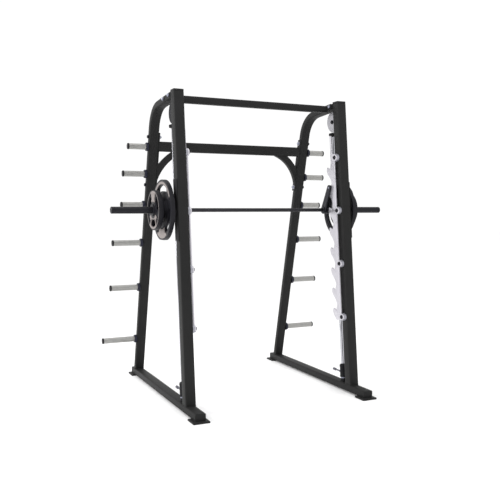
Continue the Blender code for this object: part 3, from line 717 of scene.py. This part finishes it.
for label, side in SIDES:
    node = f"bar_sleeve_{label}"
    low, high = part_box(node)
    long = high.x - low.x
    root, _ = inner_outer(low, high, side)
    sleeve = turned(f"sleeve_{label}", [
        (0.0003, 0.0330), (0.0015, 0.0360), (0.0085, 0.0360), (0.0100, 0.0340), (0.0101, 0.0240),
        (long - 0.0240, 0.0240), (long - 0.0235, 0.0228), (long - 0.0205, 0.0228),
        (long - 0.0200, 0.0240), (long - 0.0030, 0.0240), (long - 0.0006, 0.0218), (long, 0.0205),
        (long, 0.0150), (long - 0.0030, 0.0140), (long - 0.0030, 0.0070), (long - 0.0010, 0.0060)], 56)
    give(stand(sleeve, (root, BAR_AT.y, BAR_AT.z), (side, 0, 0)), "bar", SLEEVE_BLACK,
         "sleeve_black_oxide", node)

    # Bearing rings on both sides of the carriage's boss
    inner_x, outer_x = inner_outer(*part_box(f"carriage_{label}"), side)
    for end, x, way in (("inner", inner_x, -side), ("outer", outer_x, side)):
        ring = turned(f"boss_ring_{label}_{end}", [
            (0, 0.0220), (0.0008, 0.0230), (0.0030, 0.0230), (0.0040, 0.0205), (0.0042, 0.0160)])
        give(stand(ring, (x, BAR_AT.y, BAR_AT.z), (way, 0, 0)), "carriage", ZINC, SATIN)

    # Wiper rings at both ends of the carriage's bush housing
    housing = Vector((middle(f"carriage_{label}").x, BAR_AT.y - BAR_TO_ROD, BAR_AT.z))
    for end, way in (("top", 1), ("bottom", -1)):
        start = housing + Vector((0, FRONT_SLOPE, 1)) * (way * HOUSING_HALF)
        wiper = turned(f"wiper_{label}_{end}", [
            (-0.001, 0.0262), (0.0012, 0.0275), (0.0048, 0.0275), (0.0070, 0.0240), (0.0074, 0.0165)])
        give(stand(wiper, start, FRONT_LEAN * way), "carriage", BUFFER_RUBBER, RUBBER)

    # The latch pin's two ends, and a ring round the hub's inner end
    low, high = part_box(f"latch_{label}")
    pin_y = front_y(PIN_Z, PIN_OFFSET)
    for end, x, way in (("left", low.x, -1), ("right", high.x, 1)):
        head = turned(f"latch_pin_{label}_{end}", [
            (0, 0.0066), (0.0004, 0.0072), (0.0009, 0.0072), (0.0014, 0.0060)], 28)
        give(stand(head, (x, pin_y, PIN_Z), (way, 0, 0)), "bar", SCREW_BRIGHT, SATIN)
    hub = turned(f"latch_ring_{label}", [
        (0, 0.0245), (0.0008, 0.0255), (0.0050, 0.0255), (0.0062, 0.0240), (0.0064, 0.0150)])
    inner_x, _ = inner_outer(low, high, side)
    give(stand(hub, (inner_x, BAR_AT.y, BAR_AT.z), (-side, 0, 0)), "bar", LATCH_BLACK, OXIDE)


# ---------------------------------------------------------------- weight plates


def sector(radius_in, radius_out, centre_angle, half_angle, x0, x1, rounding):
    """A block of an annulus round the bar, its ends rounded, as a grip hole or a painted field."""
    deselect()
    mid, tall = (radius_in + radius_out) / 2, radius_out - radius_in
    bpy.ops.mesh.primitive_plane_add(size=1, location=(0, 0, 0))
    obj = bpy.context.active_object
    bpy.ops.object.mode_set(mode="EDIT")
    bpy.ops.mesh.select_all(action="SELECT")
    bpy.ops.transform.resize(value=(x1 - x0, tall, 1))
    bpy.ops.transform.translate(value=((x0 + x1) / 2, mid, 0))
    bpy.ops.mesh.spin(steps=12, angle=2 * half_angle, center=(0, 0, 0), axis=(1, 0, 0))
    bpy.ops.object.mode_set(mode="OBJECT")
    tidy_normals(obj)
    obj.data.transform(Matrix.Rotation(centre_angle - middle_angle(obj), 4, "X"))
    only(obj)
    bpy.ops.object.mode_set(mode="EDIT")
    pick_edges(obj, lambda at, way: abs(way.x) > 0.99 and is_end(at, centre_angle, half_angle))
    bpy.ops.mesh.bevel(offset=rounding, segments=7)
    bpy.ops.object.mode_set(mode="OBJECT")
    tidy_normals(obj)
    obj.data.transform(Matrix.Translation((0, BAR_AT.y, BAR_AT.z)))
    return obj


def angle_of(point):
    """The angle of a point about the X axis, measured from +Y."""
    return math.atan2(point.z, point.y)


def middle_angle(obj):
    """The angle of the middle of a spun block."""
    total = Vector((0, 0, 0))
    for v in obj.data.vertices:
        total += Vector((0, v.co.y, v.co.z))
    return angle_of(total)


def is_end(at, centre_angle, half_angle):
    """Whether a point lies on one of the two ends of such a block."""
    turn = (angle_of(at) - centre_angle + math.pi) % (2 * math.pi) - math.pi
    return abs(abs(turn) - half_angle) < 0.02


def disc(name, radius, x0, x1, flats):
    """A disc on the bar's axis with a flat cut across its rim at each of these angles."""
    deselect()
    bpy.ops.mesh.primitive_cylinder_add(
        vertices=120, radius=radius, depth=x1 - x0, location=((x0 + x1) / 2, 0, 0),
        rotation=(0, math.pi / 2, 0))
    obj = bpy.context.active_object
    obj.name = name
    settle(obj)
    only(obj)
    bpy.ops.object.mode_set(mode="EDIT")
    for angle, reach in flats:
        bpy.ops.mesh.select_all(action="SELECT")
        way = Vector((0, math.cos(angle), math.sin(angle)))
        bpy.ops.mesh.bisect(plane_co=way * reach, plane_no=way, use_fill=True, clear_outer=True)
    bpy.ops.object.mode_set(mode="OBJECT")
    tidy_normals(obj)
    obj.data.transform(Matrix.Translation((0, BAR_AT.y, BAR_AT.z)))
    return obj


def drum(radius, x0, x1, sides=64):
    """A plain round cutter on the bar's axis."""
    deselect()
    bpy.ops.mesh.primitive_cylinder_add(
        vertices=sides, radius=radius, depth=x1 - x0, location=((x0 + x1) / 2, BAR_AT.y, BAR_AT.z),
        rotation=(0, math.pi / 2, 0))
    return settle(bpy.context.active_object)


TOP, BOTTOM = math.radians(90), math.radians(-90)

# Of each kind of plate: its radius, the angle of its first grip hole, half the angle that a hole spans, the
# two faces along X, how far the hub stands out, and the holes' inner edge as a share of the radius
PLATES = {
    "large": {"r": 0.211, "grip": TOP, "half": math.radians(36), "face": (0.7065, 0.7335),
              "hub": 0.010, "slot": 0.62},
    "small": {"r": 0.1385, "grip": BOTTOM, "half": math.radians(28), "face": (0.7620, 0.7950),
              "hub": 0.009, "slot": 0.49},
}

# Painted fields: inner and outer radius as shares of the plate's, middle angle, and half angle in degrees
FIELDS = {
    "large": ((0.852, 0.935, TOP, 62), (0.620, 0.935, BOTTOM, 30), (0.700, 0.780, BOTTOM, 36)),
    "small": ((0.420, 0.930, TOP, 21), (0.420, 0.560, TOP, 30), (0.420, 0.640, BOTTOM, 58),
              (0.600, 0.930, BOTTOM, 35)),
}

# Small dents in the painted fields: distance from the bar as a share of the radius, and angle
DIMPLES = {"large": (), "small": ((0.80, math.radians(82)), (0.80, math.radians(98)))}

BORE_R, GROOVE_DEPTH = 0.0247, 0.0045
# Shares of the radius: the flats between the grip holes, the groove in both faces, and the hub
RIM_FLAT, GROOVE_OUT, GROOVE_IN, HUB_SHARE = 0.980, 0.885, 0.415, 0.30


def weight_plate(kind):
    """The right-hand plate of a kind: its dark body, and the painted fields on its outer face."""
    spec = PLATES[kind]
    r, half, hub, slot = spec["r"], spec["half"], spec["hub"], spec["slot"]
    x0, x1 = spec["face"]
    grips = [spec["grip"] + i * 2 * math.pi / 3 for i in range(3)]
    between = [a + math.pi / 3 for a in grips]

    body = disc(f"{kind}_body", r, x0, x1, [(a, r * RIM_FLAT) for a in between])
    for x in (x0, x1):
        groove = drum(r * GROOVE_OUT, x - GROOVE_DEPTH, x + GROOVE_DEPTH, 96)
        cut(groove, drum(r * GROOVE_IN, x - 0.01, x + 0.01))
        cut(body, groove)
    cut(body, drum(r * HUB_SHARE, x0 - hub, x1 + hub), "UNION")
    for a in grips:
        cut(body, sector(r * slot, r * 0.82, a, half, x0 - 0.02, x1 + 0.02, r * (0.80 - slot) / 2))
    cut(body, drum(BORE_R, x0 - 0.03, x1 + 0.03, 48))
    tidy_normals(body)
    soften(body, 0.0026, 3, 45)
    smooth(body, 40)

    # The painted fields stand in the groove on the outer side; the rest of the face stays dark
    pieces = [
        sector(r * inner, r * outer, at, math.radians(spread), x1 - 0.0052, x1 + 0.0006, r * 0.02)
        for inner, outer, at, spread in FIELDS[kind]]
    face = pieces.pop(0)
    face.name = f"{kind}_face"
    for field in pieces:
        cut(face, field, "UNION")
    if kind == "small":
        line = disc("rim_line", r * 0.948, x1 - 0.0020, x1 + 0.0008, [(a, r * 0.940) for a in between])
        cut(line, disc("inside", r * 0.922, x1 - 0.03, x1 + 0.03, [(a, r * 0.914) for a in between]))
        cut(face, line, "UNION")
    for a in grips:
        cut(face, sector(r * (slot - 0.02), r * 0.84, a, half + 0.04, x1 - 0.02, x1 + 0.02,
                         r * (0.82 - slot) / 2))
    for reach, at in DIMPLES[kind]:
        spot = BAR_AT + Vector((0, math.cos(at), math.sin(at))) * (r * reach)
        bpy.ops.mesh.primitive_cylinder_add(
            vertices=24, radius=r * 0.030, depth=0.008, location=(x1, spot.y, spot.z),
            rotation=(0, math.pi / 2, 0))
        cut(face, settle(bpy.context.active_object))
    tidy_normals(face)
    soften(face, 0.0005, 2, 45)
    smooth(face, 40)
    return body, face


def mirrored(obj, name):
    """A copy for the other side of the machine, with its faces outwards."""
    copy = twin(obj, name)
    copy.data.transform(Matrix.Scale(-1, 4, (1, 0, 0)))
    copy.data.flip_normals()
    return copy


for kind in PLATES:
    made = weight_plate(kind)
    for piece, finish, part in zip(made, (IRON, PAINT), ("iron", "face")):
        for label, side in SIDES:
            place = twin if side > 0 else mirrored
            plate = f"{kind}_plate_{label}"
            nodes = [plate] if part == "iron" else []
            give(place(piece, f"{kind}_{part}_{label}"), plate, finish, "plate_rubber_and_face", *nodes)
        bpy.data.objects.remove(piece)


# ---------------------------------------------------------------- safety stops

for label, _ in SIDES:
    node = f"safety_stop_{label}"
    start, length = along_box(node, FRONT_LEAN)
    low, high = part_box(node)
    r = (high.x - low.x) / 2
    stop = turned(f"stop_block_{label}", [
        (0.0010, r - 0.002), (0.0025, r), (0.016, r), (0.018, r - 0.0012), (length - 0.024, r - 0.0012),
        (length - 0.022, r), (length - 0.011, r), (length - 0.009, r - 0.002), (length - 0.004, r - 0.0022),
        (length - 0.0012, r - 0.006)], 48)
    give(stand(stop, start, FRONT_LEAN), node, SLIDE_BLACK, ENAMEL, node)

    node = f"stop_pin_{label}"
    low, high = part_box(node)
    long, at = high.y - low.y, (low + high) / 2
    pin = turned(f"pull_pin_{label}", [
        (0, 0.0048), (0.0012, 0.0058), (0.018, 0.0058), (0.0185, 0.0085), (0.0300, 0.0085), (0.0305, 0.0058),
        (long - 0.034, 0.0058), (long - 0.0335, 0.0080), (long - 0.031, 0.0102), (long - 0.024, 0.0102),
        (long - 0.022, 0.0092), (long - 0.012, 0.0092), (long - 0.010, 0.0102), (long - 0.003, 0.0102),
        (long, 0.0078)], 36)
    give(stand(pin, (at.x, low.y, at.z), (0, 1, 0)), node, PULL_STEEL, "chrome", node)

    # A washer round the rod, on top of its socket
    washer = turned(f"rod_washer_{label}", [
        (0, 0.0195), (0.0008, 0.0205), (0.0080, 0.0205), (0.0088, 0.0195)])
    at = (middle(f"rod_foot_{label}").x, front_y(0.0845, ROD_OFFSET), 0.0838)
    give(stand(washer, at, FRONT_LEAN), "frame", SCREW_BRIGHT, SATIN)


# ---------------------------------------------------------------- welds

RUNNER_TOP = 0.0604
for label, side in SIDES:
    foot = Matrix.Translation((side * POST_X, front_y(RUNNER_TOP, 0.0375), 0.0608))
    bead(f"weld_front_foot_{label}", foot, 0.0745, 0.0755)
    foot = Matrix.Translation((side * POST_X, rear_y(RUNNER_TOP), 0.0614))
    bead(f"weld_rear_foot_{label}", foot, 0.0745, 0.0470)

for template in (SOCKET_SCREW, WASHER, HEX_HEAD, DOME_NUT, CAP, FOOT_RING):
    bpy.data.objects.remove(template)


# ---------------------------------------------------------------- stage, light and camera

bpy.ops.mesh.primitive_plane_add(size=60, location=(0, 8, -0.0005))
floor = bpy.context.active_object
floor.name = "studio_floor"
floor.data.materials.append(floor_paint("studio_floor_paint"))

scene = bpy.context.scene
scene.view_settings.view_transform = "Standard"
world = bpy.data.worlds.new("studio")
scene.world = world
world.use_nodes = True
backdrop = world.node_tree.nodes["Background"]
backdrop.inputs["Color"].default_value = (1, 1, 1, 1)
backdrop.inputs["Strength"].default_value = 1.04


def soft_light(name, at, target, size, power):
    light = bpy.data.lights.new(name, "AREA")
    light.shape = "RECTANGLE"
    light.size, light.size_y = size
    light.energy = power
    obj = bpy.data.objects.new(name, light)
    scene.collection.objects.link(obj)
    obj.location = at
    obj.rotation_euler = (Vector(target) - Vector(at)).to_track_quat("-Z", "Y").to_euler()


soft_light("key_light", (-3.5, -4.5, 4.2), (0, 0, 1.2), (3.0, 3.0), 25)
soft_light("side_light", (-5.5, 0.5, 2.6), (0, 0, 1.1), (2.5, 3.0), 190)
soft_light("top_light", (0.5, -0.5, 5.5), (0, 0, 1.0), (4.0, 4.0), 40)

camera = bpy.data.cameras.new("camera")
camera.lens = 49.56
camera.sensor_width = 36
view = bpy.data.objects.new("camera", camera)
scene.collection.objects.link(view)
view.location = (-2.222, -4.818, 1.378)
view.rotation_euler = (math.radians(86.55), 0, math.radians(-25.31))
scene.camera = view
